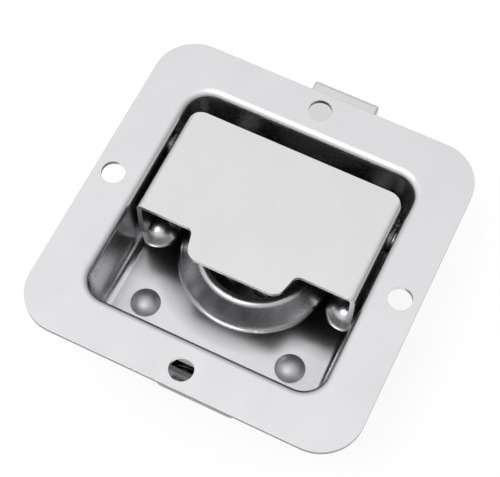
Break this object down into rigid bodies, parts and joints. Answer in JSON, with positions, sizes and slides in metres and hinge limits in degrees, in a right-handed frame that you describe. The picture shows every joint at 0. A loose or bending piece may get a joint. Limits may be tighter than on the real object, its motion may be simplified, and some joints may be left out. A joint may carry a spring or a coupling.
{
  "type": "cabinet panel lock",
  "caption": "Flush square panel latch of satin stainless steel: a rocking paddle in a pressed well draws back a sprung slam bolt in the channel behind it.",
  "frame": {"origin": "centre of the four screw holes, on the rear of the face plate where it seats on the panel", "axes": "+Z out of the panel, +Y along the latch bolt to its nose, +X to the right seen from the front"},
  "size_m": [0.1, 0.1185, 0.0406],
  "materials": {
    "pan_steel": "satin stainless sheet",
    "paddle_steel": "satin stainless sheet",
    "inner_steel": "plain mill finish sheet",
    "pin_steel": "turned bright steel",
    "spring_steel": "drawn spring wire",
    "bolt_steel": "satin machined steel",
    "rivet_steel": "bright stainless rivet"
  },
  "bodies": {
    "frame": {"pan": "pan_steel", "hinge_pin": "pin_steel", "pin_ring_left": "spring_steel", "pin_ring_right": "spring_steel", "paddle_spring_left": "spring_steel", "paddle_spring_right": "spring_steel", "guide_plate": "inner_steel", "bolt_housing": "inner_steel", "end_plate": "inner_steel", "spring_rod_left": "pin_steel", "spring_rod_right": "pin_steel", "bolt_spring_left": "spring_steel", "bolt_spring_right": "spring_steel", "stop_pin": "pin_steel", "rivet_lower_left": "rivet_steel", "rivet_lower_right": "rivet_steel", "rivet_upper_left": "rivet_steel", "rivet_upper_right": "rivet_steel"},
    "paddle": {"paddle": "paddle_steel", "actuator_lever": "inner_steel"},
    "bolt": {"latch_bolt": "bolt_steel"}
  },
  "joints": [
    {"name": "paddle_pivot", "type": "hinge", "parent": "frame", "child": "paddle", "pos_m": [0, 0.0182, -0.0045], "axis": [-1, 0, 0], "range_deg": [0, 33], "deforming": ["paddle_spring_left", "paddle_spring_right"]},
    {"name": "bolt_slide", "type": "slide", "parent": "frame", "child": "bolt", "axis": [0, -1, 0], "range_m": [0, 0.015], "stiffness_N_per_m": 1200, "springref_m": -0.006, "deforming": ["bolt_spring_left", "bolt_spring_right"]}
  ],
  "couplings": [
    {"joint": "paddle_pivot", "follows": "bolt_slide", "rad_per_m": 38.39}
  ]
}
